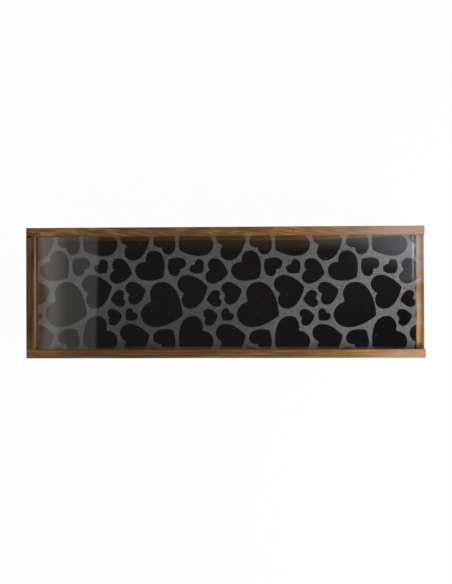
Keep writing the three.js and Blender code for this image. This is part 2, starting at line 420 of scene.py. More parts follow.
# %% The wood material
def stained_pine(
        name, middle, pith, seed, runs_along_y=False, lean=0.0, streak=1.0, figure=1.0, shade=0.0,
        sheen=0.0, lit_top=0.0, gathered=0.75, shaded_share=0.5, lines=(), patches=(), marks=()):
    """Pine whose grain runs along the board. The pith is how far the tree's heart lies from the
    board's middle, across it and up. Lean is the grain's angle on the narrow faces, streak
    stretches its streaks there, and figure makes all streaks stronger. Shade makes the stain darker,
    sheen paints a pale sheen towards the open end as painted light, lit_top paints the top lighter
    as painted light, gathered is how dark the stain is on the outer arrises, and the inner face is
    painted darker below the shaded share of its height, as painted shade. Lines are pale or dark
    threads of the grain, patches are lighter or darker places, and marks are places of another
    colour; some patches and marks are painted light or painted shade."""
    material, tree, surface = new_material(name)
    place = add(tree, "TexCoord")
    turn = (0, 0, -math.pi / 2 if runs_along_y else 0)
    spin = Matrix.Rotation(turn[2], 3, "Z")
    own = mapped(tree, place.outputs["Object"], Rotation=turn, Location=-(spin @ middle))

    # The way that each face looks, with X along the grain
    sides = parts(tree, mapped(tree, place.outputs["Normal"], "VECTOR", Rotation=turn))
    size = [maths(tree, "ABSOLUTE", sides[i]) for i in range(3)]
    narrow = maths(tree, "GREATER_THAN", size[2], NARROW_FACING)

    # The rings, round a line that leans a little against the board. Broad faces have long grain,
    # and the narrow upper and lower ones the board's own lean and length of streak
    lengthened = (1 / LONG_STREAK, 1, 1)
    leaning = mapped(tree, own, Rotation=(0, RING_SLOPE, -lean))
    rising = mapped(tree, own, Rotation=(0, RING_SLOPE, 0), Scale=lengthened)
    trunk = mapped(
        tree, blended(tree, narrow, rising, leaning),
        Location=(seed, -pith[0], -pith[1]), Scale=(RING_STRETCH, 1, 1))
    rings = add(tree, "TexWave", {
        "Vector": trunk, "Scale": 2 * math.pi / WAVE_TURNS / RING, "Distortion": RING_WANDER,
        "Detail": 3.0, "Detail Scale": WANDER_SCALE, "Detail Roughness": 0.55,
    }, wave_type="RINGS", rings_direction="X", wave_profile="SAW").outputs["Fac"]
    summer = between(tree, rings, *SUMMER_BAND)

    # The fibres, and the blotches of the stain
    long = mapped(tree, own, Scale=lengthened)
    short = mapped(tree, leaning, Scale=(1 / streak, 1, 1))
    drawn = blended(tree, narrow, long, short)
    noises = []
    for shift, stretch, detail in NOISES:
        shift = [seed if part is None else part for part in shift]
        noises.append(soft_noise(tree, mapped(tree, drawn, Location=shift, Scale=stretch), detail))
    fibres, streaks, clouds, hues = noises

    lightness = maths(tree, "MULTIPLY_ADD", summer, SUMMER_SHADE, MIDDLE_LIGHTNESS - shade)
    shares = [FIGURE_SHARE * figure, FIGURE_SHARE * figure, CLOUD_SHARE]
    for noise, share in zip([fibres, streaks, clouds], shares):
        off = maths(tree, "SUBTRACT", noise, NOISE_MIDDLE)
        lightness = maths(tree, "MULTIPLY_ADD", off, share, lightness)
    across = parts(tree, own)[1]
    off = maths(tree, "SUBTRACT", clouds, NOISE_MIDDLE)
    wander = maths(tree, "MULTIPLY_ADD", off, THREAD_WANDER, across)
    for at, reach, change in lines:
        off = maths(tree, "ABSOLUTE", maths(tree, "SUBTRACT", wander, at * MM))
        lightness = maths(tree, "ADD", lightness, between(tree, off, reach * MM, 0.0, 0.0, change))
    for centre, reach, change in patches:
        here = near_place(tree, place.outputs["Object"], centre, reach)
        lightness = maths(tree, "MULTIPLY_ADD", here, change, lightness)
    wood = ramp(tree, lightness, WOOD_STOPS)
    tint = ramp(tree, hues, TINT_STOPS)
    wood = blended(tree, 1.0, wood, tint, "MULTIPLY")
    spot = parts(tree, place.outputs["Object"])
    # Painted sheen: paler towards the lit right end, most on the narrow faces
    if sheen:
        painted_sheen = between(
            tree, spot[0], SHEEN_START * cad_high.x, cad_high.x, 0.0, sheen)
        painted_sheen = product(tree, painted_sheen, between(tree, narrow, 0.0, 1.0, SIDE_SHEEN, 1.0))
        wood = blended(tree, painted_sheen, wood, PAINTED_SHEEN)
    # Painted shade: the inner faces are painted darker towards the bottom, where little light falls
    inner_shade = product(tree, inside_share(tree, spot, shaded_share), INSIDE_SHADE_SHARE)
    wood = blended(tree, inner_shade, wood, PAINTED_SHADE)

    # Edges: the stain gathers on the outer arrises, and soaks into the end grain
    largest = maths(tree, "MAXIMUM", maths(tree, "MAXIMUM", size[0], size[1]), size[2])
    strength = maths(tree, "MULTIPLY_ADD", outer_share(tree, spot), gathered, INNER_ARRIS_SHARE)
    arris = product(tree, between(tree, largest, *ARRIS_FACING), strength)
    wood = blended(tree, arris, wood, SOAKED)
    end_grain = between(tree, size[0], *END_FACING, 0.0, END_GRAIN_SHARE)
    wood = blended(tree, end_grain, wood, SOAKED)
    # Painted light: the upward faces are painted lighter, where light falls on them
    if lit_top:
        lit_top_share = between(tree, sides[2], *UP_FACING, 0.0, lit_top)
        lit_top_share = product(tree, lit_top_share, between(tree, hues, *LIT_TOP_BY_HUE))
        wood = blended(tree, lit_top_share, wood, LIT_TOP_TONE)
    for centre, reach, colour, share in marks:
        here = near_place(tree, place.outputs["Object"], centre, reach)
        wood = blended(tree, product(tree, here, share), wood, colour)

    depth = maths(tree, "MULTIPLY_ADD", summer, 0.4, fibres)
    grain = add(tree, "Bump", {"Height": depth, "Strength": 0.5, "Distance": GRAIN_DEPTH})
    finish_material(tree, add(tree, "BsdfPrincipled", {
        "Base Color": wood, "Roughness": between(tree, fibres, *FIBRE_RANGE, *PINE_ROUGHNESS),
        "IOR": 1.45, "Specular IOR Level": 0.35, "Normal": grain.outputs[0],
    }), surface)
    return material


# %% [markdown]
# ## The brads and their holes
# Thin nails with small flat heads hold the corners and the bottom. Only their heads show, set just
# below the wood, so each board needs a hole round each head. One shape serves for both: a brad
# made slightly fatter, and longer past its head, is the tool that drills the hole. A brad starts
# as a flat disc, its head, and the shank and the point are drawn out of its lower face.

# %% Steel for the brads
STEEL_GREY = tone(150, 144, 134)
STEEL_STAIN = tone(84, 66, 48)
STEEL_SPOTS = 1900.0
STEEL_DENTS = 0.05 * MM
STEEL_ROUGHNESS = (0.28, 0.55)


def dull_steel():
    """Steel that has greyed, with a little stain left in its pits."""
    material, tree, surface = new_material("dull_steel")
    place = add(tree, "TexCoord").outputs["Object"]
    spots = soft_noise(tree, place, 3.0, STEEL_SPOTS)
    colour = blended(tree, between(tree, spots, 0.45, 0.7), STEEL_GREY, STEEL_STAIN)
    dents = add(tree, "Bump", {"Height": spots, "Strength": 0.4, "Distance": STEEL_DENTS})
    finish_material(tree, add(tree, "BsdfPrincipled", {
        "Base Color": colour, "Metallic": 1.0,
        "Roughness": between(tree, spots, 0.3, 0.8, *STEEL_ROUGHNESS), "Normal": dents.outputs[0],
    }), surface)
    return material


steel = dull_steel()

# %% Model one brad
BRAD_SIDES = 24
HEAD_RADIUS = 1.1 * MM
HEAD_THICKNESS = 0.7 * MM
HEAD_ROUNDING = 0.2 * MM
SHANK_RADIUS = 0.6 * MM
POINT = 1.6 * MM
POINT_SHARE = 0.08
HOLE_PLAY = 0.12 * MM
HOLE_OPENING = 1.5 * MM


def brad(name, length, play=0.0, opening=0.0):
    """A brad that points down, the top of its head at the origin."""
    bpy.ops.mesh.primitive_cylinder_add(
        vertices=BRAD_SIDES, radius=HEAD_RADIUS + play, depth=HEAD_THICKNESS + opening + play,
        location=(0, 0, (opening - HEAD_THICKNESS - play) / 2))
    piece = bpy.context.object
    piece.name = name
    settle(piece)
    edit(piece)
    pick_faces(piece, lambda at, normal: normal.z < -SQUARE_ON)
    bpy.ops.mesh.inset(thickness=HEAD_RADIUS - SHANK_RADIUS)
    shank = length - HEAD_THICKNESS - POINT
    bpy.ops.mesh.extrude_region_move(TRANSFORM_OT_translate={"value": (0, 0, -shank)})
    bpy.ops.mesh.extrude_region_move(TRANSFORM_OT_translate={"value": (0, 0, -POINT)})
    bpy.ops.transform.resize(value=(POINT_SHARE, POINT_SHARE, 1))
    if not play:
        bpy.ops.mesh.select_all(action="DESELECT")
        pick_edges(piece, lambda a, b: a.z > -NEAR and b.z > -NEAR)
        bpy.ops.mesh.bevel(offset=HEAD_ROUNDING, segments=3, affect="EDGES")
    done()
    return piece


# %% Find where the brads go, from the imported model
TURNS = {
    "corner_brad_front": math.pi / 2,
    "corner_brad_rear": -math.pi / 2,
    "bottom_brad": math.pi,
}


def brad_place(node):
    """The place of the top of a brad's head, its turn, and its length."""
    low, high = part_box(node)
    kind = next(start for start in TURNS if node.startswith(start))
    top = (low + high) / 2
    if kind == "bottom_brad":
        top.z = low.z
        return top, TURNS[kind], high.z - low.z
    top.y = low.y if kind.endswith("front") else high.y
    return top, TURNS[kind], high.y - low.y


def put(piece, top, turn):
    """Turns a brad and moves it to its place."""
    piece.location = top
    piece.rotation_euler = (turn, 0, 0)
    settle(piece)


def copy_of(piece, name):
    """A copy with a mesh of its own."""
    twin = piece.copy()
    twin.data = piece.data.copy()
    twin.name = name
    bpy.context.collection.objects.link(twin)
    return twin


brad_nodes = sorted(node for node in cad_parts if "_brad_" in node)
lengths = {round(brad_place(node)[2] / MM, 1) for node in brad_nodes}
print(len(brad_nodes), "brads, of lengths", sorted(lengths), "mm")

# %% Make the tool that drills all their holes
patterns = {size: brad(f"hole_{size}", size * MM, HOLE_PLAY, HOLE_OPENING) for size in lengths}
holes = []
for node in brad_nodes:
    top, turn, length = brad_place(node)
    hole = copy_of(patterns[round(length / MM, 1)], "hole_" + node)
    put(hole, top, turn)
    holes.append(hole)
drill = joined(holes)
for pattern in patterns.values():
    remove(pattern)
print("The drill has", len(drill.data.polygons), "faces")

# %% Set the brads themselves
patterns = {size: brad(f"brad_{size}", size * MM) for size in lengths}
for node in brad_nodes:
    top, turn, length = brad_place(node)
    piece = copy_of(patterns[round(length / MM, 1)], "set_" + node)
    put(piece, top, turn)
    piece.data.materials.append(steel)
    finish_piece(piece, "box", "steel", node)
for pattern in patterns.values():
    remove(pattern)

# %% [markdown]
# ## The boards
# A board with a groove could be a block with a slot cut out of it. Drawing its end view first and
# pulling that out to the board's length is shorter, and gives clean faces: a rectangle is split
# where the groove begins and ends, the groove's own part is deleted, and the rest is extruded. The
# edges that hands touch are rounded, and those inside the groove stay crisp.

# %% Model one board
ROUNDING = 0.8 * MM
GROOVE_ROUNDING = 0.25 * MM
LID_PLAY = 0.3 * MM
GROOVE_DEPTH = 3.5 * MM
FLAT_ANGLE = math.radians(1)
groove_floor = lid_low.z - LID_PLAY
groove_top = lid_high.z + LID_PLAY


def along_axis(axis, length):
    """A vector of this length along an axis."""
    vector = Vector((0, 0, 0))
    vector[axis] = length
    return vector


def board_blank(name, low, high, along):
    """A board's end view as a flat rectangle, at the end with the lowest coordinate."""
    across = 1 - along
    bpy.ops.mesh.primitive_plane_add(size=1)
    piece = bpy.context.object
    piece.name = name
    piece.rotation_euler = (0, math.pi / 2, 0) if along == 0 else (math.pi / 2, 0, 0)
    height = high.z - low.z
    thickness = high[across] - low[across]
    piece.scale = (height, thickness, 1) if along == 0 else (thickness, height, 1)
    piece.location = (low + high) / 2
    piece.location[along] = low[along]
    settle(piece)
    return piece


def cut_flat(piece, axis, place):
    """In edit mode, splits the whole mesh at a plane across an axis."""
    bpy.ops.mesh.select_all(action="SELECT")
    bpy.ops.mesh.bisect(plane_co=along_axis(axis, place), plane_no=along_axis(axis, 1))


def board(name, low, high, along, inner=None, eased_ends=False):
    """A board between two corners, along X (0) or Y (1). Inner is the coordinate of its inside
    face if it has the lid's groove there."""
    across = 1 - along
    piece = board_blank(name, low, high, along)
    edit(piece)
    if inner is not None:
        outer = low[across] + high[across] - inner
        back = inner + math.copysign(GROOVE_DEPTH, outer - inner)
        cut_flat(piece, 2, groove_floor)
        cut_flat(piece, 2, groove_top)
        cut_flat(piece, across, back)
        pick_faces(piece, lambda at, normal: (
            groove_floor < at.z < groove_top and abs(at[across] - inner) < GROOVE_DEPTH))
        bpy.ops.mesh.delete(type="FACE")
    bpy.ops.mesh.select_all(action="SELECT")
    pull = along_axis(along, high[along] - low[along])
    bpy.ops.mesh.extrude_region_move(TRANSFORM_OT_translate={"value": pull})
    face_outwards()
    bpy.ops.mesh.dissolve_limited(angle_limit=FLAT_ANGLE)

    def is_long(a, b):
        return abs(a[along] - b[along]) > pull.length / 2

    def in_groove(a):
        return inner is not None and groove_floor - NEAR < a.z < groove_top + NEAR

    if inner is not None:
        bpy.ops.mesh.select_all(action="DESELECT")
        pick_edges(piece, lambda a, b: (
            is_long(a, b) and in_groove(a) and abs(a[across] - inner) < NEAR))
        bpy.ops.mesh.bevel(offset=GROOVE_ROUNDING, segments=2, affect="EDGES")
    bpy.ops.mesh.select_all(action="DESELECT")
    pick_edges(piece, lambda a, b: is_long(a, b) and not in_groove(a) or (
        eased_ends and not is_long(a, b) and abs(a[along] - b[along]) < NEAR))
    bpy.ops.mesh.bevel(offset=ROUNDING, segments=3, affect="EDGES", clamp_overlap=True)
    face_outwards()
    done()
    return piece


# %% Where the side boards are lighter, darker or knotty
# Places and reaches in mm, and the change of lightness or the new colour and its share
REAR_PATCHES = [
    ((-156, 52, 100), (10, 3.5, 8), 0.34),
    ((-137, 54, 100), (20, 5, 8), 0.2),
    ((-166, 54, 100), (9, 5, 8), 0.12),
    ((-109, 54, 100), (20, 9, 12), 0.05),
    ((-85, 54, 100), (45, 9, 12), -0.04),
    ((-48, 54, 100), (36, 9, 12), -0.08),
    ((-37, 55.5, 100), (11, 2, 8), 0.24),
    ((60, 54, 100), (40, 9, 12), 0.12),
    ((-9, 54, 100), (10, 2.4, 8), 0.16),
    ((92, 54, 100), (34, 9, 12), 0.11),
]
REAR_MARKS = [
    ((60, 53.6, 100.5), (1.8, 1.2, 3), SOAKED, 0.6),
    ((32, 50, 82), (3.2, 1.5, 8), SOAKED, 0.9),
    # Painted shade in the splinter's pit
    ((-172.5, 50, 98.5), (4.5, 1.4, 4), PAINTED_SHADE, 0.95),
    # Painted light on the lower part of the rear board's inner face
    ((80, 50, 22), (130, 3, 60), PAINTED_LIGHT_PALE, 0.35),
    ((-48, 54, 100), (40, 9, 12), UMBER, 0.35),
    # Painted sheen at the rear board's right end
    ((155, 54, 100), (50, 9, 12), PAINTED_SHEEN, 0.2),
]
FRONT_LINES = [
    (-3.1, 0.6, -0.16), (-2.2, 0.6, 0.1), (-1.4, 0.5, -0.08), (-0.5, 0.6, -0.06), (0.5, 0.6, 0.14),
    (1.4, 0.5, -0.14), (2.2, 0.5, 0.06), (3.0, 0.7, -0.08),
]
FRONT_PATCHES = [
    ((-165, -54, 100), (24, 9, 12), 0.06),
    ((-143, -54, 100), (26, 9, 12), 0.04),
    ((-98, -54, 100), (40, 9, 12), -0.03),
    ((-68, -54, 100), (60, 9, 12), -0.16),
    ((-5, -54, 100), (50, 9, 12), -0.09),
    ((50, -54, 100), (30, 9, 12), -0.08),
    ((138, -54, 100), (28, 9, 12), 0.11),
    ((168, -54, 100), (26, 9, 12), 0.12),
    # Painted light: the front board's inner face is made lighter
    ((20, -50, 52), (160, 3, 42), 0.5),
]
FRONT_MARKS = [
    ((108, -53, 100.5), (1.6, 1, 3), SOAKED, 0.35),
    # Painted sheen at the front board's right end
    ((164, -54, 100), (34, 9, 12), PAINTED_SHEEN, 0.25),
]

# %% Make the two side boards
low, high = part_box("rear_side_board")
rear = board("rear_side_board_planed", low, high, 0, low.y, eased_ends=True)
cut(rear, drill)
rear.data.materials.append(stained_pine(
    "rear_side_pine", (low + high) / 2, (0.060, 0.030), 0.0, lean=-0.13, streak=0.7, figure=0.9,
    sheen=0.72, shaded_share=0.3, patches=REAR_PATCHES, marks=REAR_MARKS))
finish_piece(rear, "box", "stained_pine", "rear_side_board")

low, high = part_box("front_side_board")
front = board("front_side_board_planed", low, high, 0, high.y, eased_ends=True)
cut(front, drill)
front.data.materials.append(stained_pine(
    "front_side_pine", (low + high) / 2, (-0.045, 0.055), 4.7, lean=0.004, streak=1.7, figure=0.65,
    sheen=0.2, gathered=0.9, lines=FRONT_LINES, patches=FRONT_PATCHES, marks=FRONT_MARKS))
finish_piece(front, "box", "stained_pine", "front_side_board")

# %% [markdown]
# ## The end boards
# The closed end has the same groove as the sides. A splinter has broken out of its rear corner,
# which shows as a small dark pit, its faces painted near black as painted shade. The open end
# stops below the lid, so that the lid slides over it.

# %% Break the splinter out of the closed end board
SPLINTER = Vector((2.5, 1.5, 3.5)) * MM
SPLINTER_SIDES = 7
SPLINTER_TAPER = 0.6
SPLINTER_TURN = (0.1, -0.15, 0.12)
SPLINTER_SETBACK = 0.15 * MM


def splinter(corner):
    """An uneven plug, narrower below, at the board's top corner and just clear of its face."""
    bpy.ops.mesh.primitive_cone_add(
        vertices=SPLINTER_SIDES, radius1=SPLINTER_TAPER, radius2=1.0, depth=2, location=corner)
    piece = bpy.context.object
    piece.name = "splinter"
    piece.rotation_euler = SPLINTER_TURN
    piece.scale = SPLINTER
    piece.location.x += SPLINTER.x + SPLINTER_SETBACK
    settle(piece)
    return piece


CLOSED_PATCHES = [
    # Painted shade: the closed end's outer top arris, on the side away from the lamp, is made darker
    ((-175, 0, 100), (1.7, 90, 8), -0.4),
    ((-172.6, 5, 100), (3, 16, 8), -0.05),
    ((-173, -30, 100), (2.5, 12, 8), -0.16),
    ((-171, 27, 100), (5, 16, 8), -0.16),
]
CLOSED_MARKS = [
    # Painted light on the closed end's lip face, which faces the lamp
    ((-167.5, 0, 97), (1.7, 90, 5), PAINTED_LIGHT_PALE, 0.75),
    ((-167.5, -46, 80), (6, 14, 30), TAN, 0.7),
    ((-172, -15, 100), (9, 75, 12), RUST, 0.2),
    # Painted shade in the splinter's pit
    ((-172.5, 50, 97.5), (6, 2, 5), PAINTED_SHADE, 0.95),
]
low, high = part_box("closed_end_board")
closed = board("closed_end_board_planed", low, high, 1, high.x)
wedge = splinter(Vector((low.x, high.y, high.z)))
cut(closed, wedge)
remove(wedge)
cut(closed, drill)
closed.data.materials.append(stained_pine(
    "closed_end_pine", (low + high) / 2, (0.052, -0.035), 8.3, runs_along_y=True, streak=1.4,
    shade=0.14, shaded_share=1.0, patches=CLOSED_PATCHES, marks=CLOSED_MARKS))
finish_piece(closed, "box", "stained_pine", "closed_end_board")

# %% Make the open end board
OPEN_MARKS = [
    ((167.5, 0, 90), (2, 90, 5), BROWN, 0.55),
    ((175, 0, 90), (2.2, 90, 5), BROWN, 0.7),
    ((171, -49, 90), (6, 6, 8), SOAKED, 0.6),
    # Painted sheen on the far part of the open end's top
    ((171, 32, 90), (6, 32, 8), PAINTED_SHEEN, 0.75),
]
low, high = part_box("open_end_board")
opened = board("open_end_board_planed", low, high, 1)
cut(opened, drill)
# Its top is painted lighter, as painted light
opened.data.materials.append(stained_pine(
    "open_end_pine", (low + high) / 2, (-0.05, 0.04), 2.9, runs_along_y=True, figure=0.7,
    shade=-0.02, lit_top=0.8, gathered=0.0, shaded_share=1.0, marks=OPEN_MARKS))
finish_piece(opened, "box", "stained_pine", "open_end_board")

# %% [markdown]
# ## The bottom panel
# The bottom is a thin sheet, nailed on from below, with broad figure on its faces and its layers
# showing as lines at its edges. Its upper face is the darkest wood of the box: it is painted
# nearly black as painted shade, because little light falls in through the lid. A strip of it
# beside the rear wall, growing towards the open end, is painted lighter as painted light.

# %% Thin stained panel
PLY = 1.35 * MM
PLY_SEAM = (0.55, 0.45)
# Painted light: a lighter strip on the bottom's upper face beside the rear wall
PAINTED_LIGHT_REACH = 12 * MM
PAINTED_LIGHT_BROWN = tone(104, 84, 62)
CORE = tone(52, 36, 23)
OUTER_STOPS = [(0.2, tone(58, 42, 27)), (0.5, tone(90, 65, 41)), (0.8, tone(118, 88, 57))]
# Painted shade: the tones of the bottom's upper face, nearly black
SHADED_INNER_STOPS = [(0.2, tone(8, 6, 5)), (0.5, tone(16, 12, 9)), (0.8, tone(28, 21, 16))]
FIGURE_STRETCH = (5, 42, 42)
FIGURE_LINES = 9.0
FIBRE_STRETCH = (18, 700, 700)
EDGE_FACING = (0.7, 0.4)
PANEL_GRAIN = 0.2 * MM
PANEL_ROUGHNESS = (0.5, 0.68)


def stained_panel(middle):
    """A stained sheet of thin layers, with broad figure along the box."""
    material, tree, surface = new_material("stained_panel")
    place = add(tree, "TexCoord")
    wide = mapped(tree, place.outputs["Object"], Scale=FIGURE_STRETCH)
    figure = soft_noise(tree, wide, 3.0, Distortion=0.6)
    fibres = soft_noise(tree, mapped(tree, place.outputs["Object"], Scale=FIBRE_STRETCH), 2.0)
    lines = maths(tree, "FRACT", product(tree, figure, FIGURE_LINES))
    lightness = maths(tree, "MULTIPLY_ADD", lines, 0.22, product(tree, fibres, 0.8))
    wood = ramp(tree, lightness, OUTER_STOPS)
    inner = ramp(tree, lightness, SHADED_INNER_STOPS)
    facing = parts(tree, place.outputs["Normal"])[2]
    spot = parts(tree, place.outputs["Object"])
    # Painted light beside the rear wall, growing towards the open end
    lit_by_wall = between(tree, spot[1], end_high.y - PAINTED_LIGHT_REACH, end_high.y, 0.0, 0.5)
    along = between(tree, spot[0], end_low.x, -end_low.x, 0.1, 1.0)
    inner = blended(tree, product(tree, lit_by_wall, along), inner, PAINTED_LIGHT_BROWN)
    # Painted shade: the upward face gets the nearly black tones
    wood = blended(tree, between(tree, facing, *UP_FACING), wood, inner)
    off = maths(tree, "ABSOLUTE", maths(tree, "SUBTRACT", spot[2], middle.z))
    core = between(tree, off, *[share * PLY for share in PLY_SEAM])
    edge = between(tree, maths(tree, "ABSOLUTE", facing), *EDGE_FACING)
    wood = blended(tree, product(tree, core, edge), wood, CORE)
    grain = add(tree, "Bump", {"Height": lightness, "Strength": 0.4, "Distance": PANEL_GRAIN})
    finish_material(tree, add(tree, "BsdfPrincipled", {
        "Base Color": wood, "Roughness": between(tree, fibres, *FIBRE_RANGE, *PANEL_ROUGHNESS),
        "Specular IOR Level": 0.2, "Normal": grain.outputs[0],
    }), surface)
    return material


# %% Make the bottom panel
PANEL_ROUNDING = 0.4 * MM


def block(name, low, high, rounding=0.0):
    """A block between two corners, its edges rounded if a rounding is given."""
    bpy.ops.mesh.primitive_cube_add(size=1, location=(low + high) / 2)
    piece = bpy.context.object
    piece.name = name
    piece.scale = high - low
    settle(piece)
    if rounding:
        edit(piece)
        pick_edges(piece, lambda a, b: True)
        bpy.ops.mesh.bevel(offset=rounding, segments=2, affect="EDGES")
        done()
    return piece


low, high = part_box("bottom_panel")
bottom = block("bottom_panel_sanded", low, high, PANEL_ROUNDING)
cut(bottom, drill)
bottom.data.materials.append(stained_panel((low + high) / 2))
finish_piece(bottom, "box", "stained_panel", "bottom_panel")
remove(drill)

# %% [markdown]
# ## The acrylic
# Acrylic mirrors about one part in thirteen of the light that meets a sheet head on, and more at a
# slant. Glass that bends light would be exact, but a thin flat sheet shifts what lies behind it
# by less than a millimetre, and it would throw no clean light into the box. So the sheet is seen
# straight through, with a mirror whose strength follows the angle. The engraved ground scatters
# some light in every direction, which makes it a grey veil over the dark inside.

# %% Clear, engraved and edge materials for the lid
ACRYLIC_IOR = 1.49
DUST_SPACING = 2.6 * MM
DUST_REACH = 0.15 * MM
DUSTY_CELLS = (0.45, 1.0)
MIRRORING_FACES = 1.95
MIRROR_ROUGHNESS = 0.012
CLEAR_TINT = (0.97, 0.975, 0.975, 1)
LINT = (0.5, 0.49, 0.47, 1)
FROST = (0.33, 0.325, 0.33, 1)
FROST_TINT = (0.98, 0.98, 0.98, 1)
EDGE_DARK = (0.2, 0.22, 0.215, 1)
EDGE_PALE = (0.3, 0.33, 0.32, 1)
EDGE_TINT = (0.95, 0.97, 0.96, 1)
EDGE_SHARE = 0.62
SAW_STRETCH = (120, 120, 900)
# How dense the engraving's veil is: by the slant of the view, by its specks and by its clouds
VEIL_BY_SLANT = (0.1, 0.9, 0.34, 0.8)
VEIL_BY_SPECKS = (0.35, 0.65, -0.09, 0.09)
VEIL_BY_CLOUDS = 0.08
VEIL_IN_SHADOW = 0.4
SPECK_SCALE = 800.0
CLOUD_SCALE = 45.0
# Where the engraving is fainter or stronger: place and reach in mm, and the change
VEIL_CHANGES = [
    ((-40, 20, 92), (150, 90, 30), -0.2),
    ((-60, -35, 92), (150, 45, 30), -0.33),
    ((150, 22, 92), (60, 40, 30), 0.2),
]


def sheet_gloss(tree, share):
    """How much a sheet mirrors, on the face that a ray meets first. Share counts its faces."""
    strength = add(tree, "Fresnel", {"IOR": ACRYLIC_IOR}).outputs[0]
    backfacing = add(tree, "NewGeometry").outputs["Backfacing"]
    front = maths(tree, "SUBTRACT", 1.0, backfacing)
    return maths(tree, "MULTIPLY", product(tree, strength, front), share, clamp=True)


def dust(tree):
    """One on a few tiny specks on the sheet's upper face."""
    place = add(tree, "TexCoord")
    flat = mapped(tree, place.outputs["Object"], Scale=(1, 1, 0))
    cells = add(tree, "TexVoronoi", {"Vector": flat, "Scale": 1 / DUST_SPACING})
    size = parts(tree, cells.outputs["Color"])[0]
    reach = between(tree, size, *DUSTY_CELLS, 0.0, DUST_REACH / DUST_SPACING)
    speck = maths(tree, "LESS_THAN", cells.outputs["Distance"], reach)
    up = parts(tree, place.outputs["Normal"])[2]
    return product(tree, speck, maths(tree, "GREATER_THAN", up, 0.5))


def clear_acrylic():
    """Clear sheet with a glossy face and a little dust."""
    material, tree, surface = new_material("clear_acrylic")
    through = add(tree, "BsdfTransparent", {"Color": CLEAR_TINT})
    mirror = add(tree, "BsdfGlossy", {"Color": PLAIN, "Roughness": MIRROR_ROUGHNESS})
    sheet = mixed(tree, sheet_gloss(tree, MIRRORING_FACES), through, mirror)
    lint = add(tree, "BsdfDiffuse", {"Color": LINT})
    finish_material(tree, mixed(tree, dust(tree), sheet, lint), surface)
    return material


def engraved_acrylic():
    """Acrylic roughened by engraving: a fine grey veil."""
    material, tree, surface = new_material("engraved_acrylic")
    place = add(tree, "TexCoord").outputs["Object"]
    specks = soft_noise(tree, place, 3.0, SPECK_SCALE)
    clouds = soft_noise(tree, place, 2.0, CLOUD_SCALE)
    slant = add(tree, "LayerWeight", {"Blend": 0.5}).outputs["Facing"]
    veil = between(tree, slant, *VEIL_BY_SLANT)
    veil = maths(tree, "ADD", between(tree, specks, *VEIL_BY_SPECKS), veil)
    off = maths(tree, "SUBTRACT", clouds, NOISE_MIDDLE)
    veil = maths(tree, "MULTIPLY_ADD", off, VEIL_BY_CLOUDS, veil)
    for centre, reach, change in VEIL_CHANGES:
        kept = maths(tree, "MULTIPLY_ADD", near_place(tree, place, centre, reach), change, 1.0)
        veil = product(tree, veil, kept)

    # The ground scatters light, but most of it still goes on into the box
    casting = add(tree, "LightPath").outputs["Is Shadow Ray"]
    veil = product(tree, veil, between(tree, casting, 0.0, 1.0, 1.0, VEIL_IN_SHADOW))
    through = add(tree, "BsdfTransparent", {"Color": FROST_TINT})
    frost = add(tree, "BsdfDiffuse", {"Color": FROST})
    finish_material(tree, mixed(tree, veil, through, frost), surface)
    return material


def acrylic_edge():
    """The sawn edge of the sheet, a pale band that catches light from the whole sheet."""
    material, tree, surface = new_material("acrylic_edge")
    place = add(tree, "TexCoord").outputs["Object"]
    marks = soft_noise(tree, mapped(tree, place, Scale=SAW_STRETCH), 2.0)
    body = blended(tree, marks, EDGE_DARK, EDGE_PALE)
    solid = add(tree, "BsdfPrincipled", {"Base Color": body, "Roughness": 0.22, "IOR": ACRYLIC_IOR})
    through = add(tree, "BsdfTransparent", {"Color": EDGE_TINT})
    finish_material(tree, mixed(tree, EDGE_SHARE, through, solid), surface)
    return material


lid_materials = [clear_acrylic(), engraved_acrylic(), acrylic_edge()]

# %% [markdown]
# ## The sliding lid
# The engraving is a shallow pocket in the sheet's underside, and each heart is a land left
# standing in it. A picture of hearts on a plain sheet would look the same from far away, but its
# outlines would blur up close. So one heart is drawn as a closed curve, its half mirrored, and
# copied wherever the pattern has a heart. The hearts are taken out of a flat block, and that
# block out of the sheet.

# %% Draw one heart
HALF_HEART_SHARES = [
    [(-0.06, 0.07), (-0.165, 0.16), (-0.165, 0.34)],
    [(-0.165, 0.54), (0.01, 0.685), (0.23, 0.685)],
    [(0.52, 0.685), (0.84, 0.34), (1, 0)],
]
HEART_STEPS = 12


def heart_points():
    """The heart's points, each with the handle before it and the handle after it."""
    half = []
    at = (0, 0)
    before = (HALF_HEART_SHARES[0][0][0], -HALF_HEART_SHARES[0][0][1])
    for after, next_before, next_at in HALF_HEART_SHARES:
        half.append((at, before, after))
        at, before = next_at, next_before
    half.append((at, before, (before[0], -before[1])))
    mirrored = [
        tuple((x, -y) for x, y in (point, after, before)) for point, before, after in half[2:0:-1]]
    return half + mirrored


def heart_prism(height):
    """One heart, its notch at the origin and its tip one metre along X, pulled up and down."""
    bpy.ops.curve.primitive_bezier_curve_add()
    piece = bpy.context.object
    piece.name = "heart"
    piece.data.dimensions = "2D"
    piece.data.fill_mode = "BOTH"
    piece.data.resolution_u = HEART_STEPS
    spline = piece.data.splines[0]
    points = heart_points()
    spline.bezier_points.add(len(points) - len(spline.bezier_points))
    spline.use_cyclic_u = True
    for point, (at, before, after) in zip(spline.bezier_points, points):
        point.handle_left_type = point.handle_right_type = "FREE"
        point.co = (*at, 0)
        point.handle_left = (*before, 0)
        point.handle_right = (*after, 0)
    piece.data.extrude = height
    bpy.ops.object.convert(target="MESH")
    edit(piece)
    bpy.ops.mesh.select_all(action="SELECT")
    bpy.ops.mesh.remove_doubles(threshold=NEAR)
    face_outwards()
    done()
    return piece


